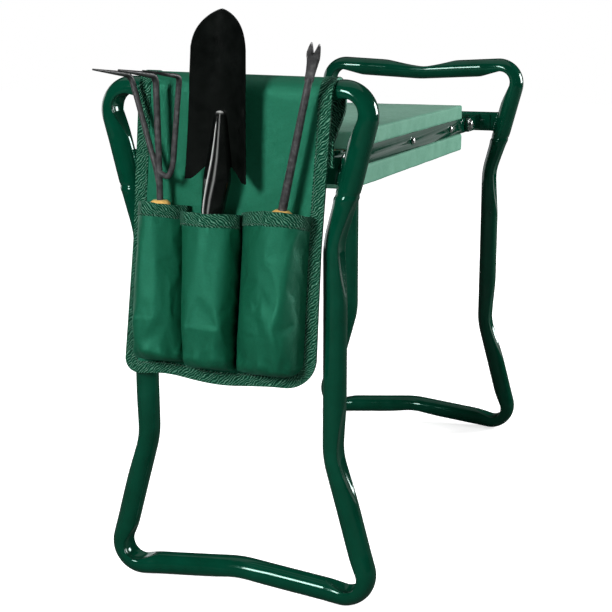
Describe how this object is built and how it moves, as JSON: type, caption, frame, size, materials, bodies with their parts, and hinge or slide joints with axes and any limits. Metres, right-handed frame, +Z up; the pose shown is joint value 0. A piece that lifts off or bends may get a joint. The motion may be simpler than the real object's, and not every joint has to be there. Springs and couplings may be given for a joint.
{
  "type": "garden kneeler seat",
  "caption": "Folding garden kneeler and seat: a foam pad on rails, bent tube leg loops that fold under it, and a fabric pouch of hand tools hung on one handle.",
  "frame": {"origin": "on the floor, under the middle of the whole object's box", "axes": "+X along the pad towards the leg loop without the pouch, +Y across the pad, +Z up"},
  "size_m": [0.7046, 0.2744, 0.5497],
  "materials": {
    "enamel": "dark green gloss enamel",
    "foam": "pale green closed-cell foam with a smooth skin",
    "core_board": "plain board",
    "zinc": "bright zinc plate",
    "cloth": "green woven polyester",
    "tape": "green twill tape",
    "fastener_tape": "black hook and loop tape",
    "black_steel": "satin black paint",
    "dark_steel": "dark grey forged steel",
    "beech": "varnished pale wood"
  },
  "bodies": {
    "seat": {"upper_foam": "foam", "lower_foam": "foam", "core_board": "core_board", "rail_left": "enamel", "rail_right": "enamel", "rail_screws": "zinc", "pivot_bolts": "zinc", "pivot_washers": "zinc", "pivot_nuts": "zinc"},
    "near_leg": {"near_tube_loop": "enamel", "near_cross_strap": "enamel", "near_hinge_lugs": "enamel"},
    "far_leg": {"far_tube_loop": "enamel", "far_cross_strap": "enamel", "far_hinge_lugs": "enamel"},
    "pouch": {"pouch_back_panel": "cloth", "pouch_pocket_left": "cloth", "pouch_pocket_middle": "cloth", "pouch_pocket_right": "cloth", "pouch_binding": "tape", "pocket_hems": "tape", "hook_strip": "fastener_tape", "loop_strip": "fastener_tape"},
    "trowel": {"trowel_blade": "black_steel", "trowel_handle": "beech"},
    "cultivator": {"cultivator_tines": "dark_steel", "cultivator_handle": "beech"},
    "weeder": {"weeder_fork": "dark_steel", "weeder_handle": "beech"}
  },
  "joints": [
    {"name": "far_leg_fold", "type": "hinge", "parent": "seat", "child": "far_leg", "pos_m": [0.27585, 0, 0.41], "axis": [0, 1, 0], "range_deg": [0, 92]},
    {"name": "near_leg_fold", "type": "hinge", "parent": "seat", "child": "near_leg", "pos_m": [-0.19615, 0, 0.41], "axis": [0, -1, 0], "range_deg": [0, 80]},
    {"name": "pouch_swing", "type": "hinge", "parent": "near_leg", "child": "pouch", "pos_m": [-0.25915, 0, 0.4717], "axis": [0, 1, 0], "range_deg": [0, 30]},
    {"name": "trowel_lift", "type": "slide", "parent": "pouch", "child": "trowel", "axis": [0, -0.0523, 0.9986], "range_m": [0, 0.15]},
    {"name": "cultivator_lift", "type": "slide", "parent": "pouch", "child": "cultivator", "axis": [0, 0, 1], "range_m": [0, 0.15]},
    {"name": "weeder_lift", "type": "slide", "parent": "pouch", "child": "weeder", "axis": [0, -0.1045, 0.9945], "range_m": [0, 0.15]}
  ]
}
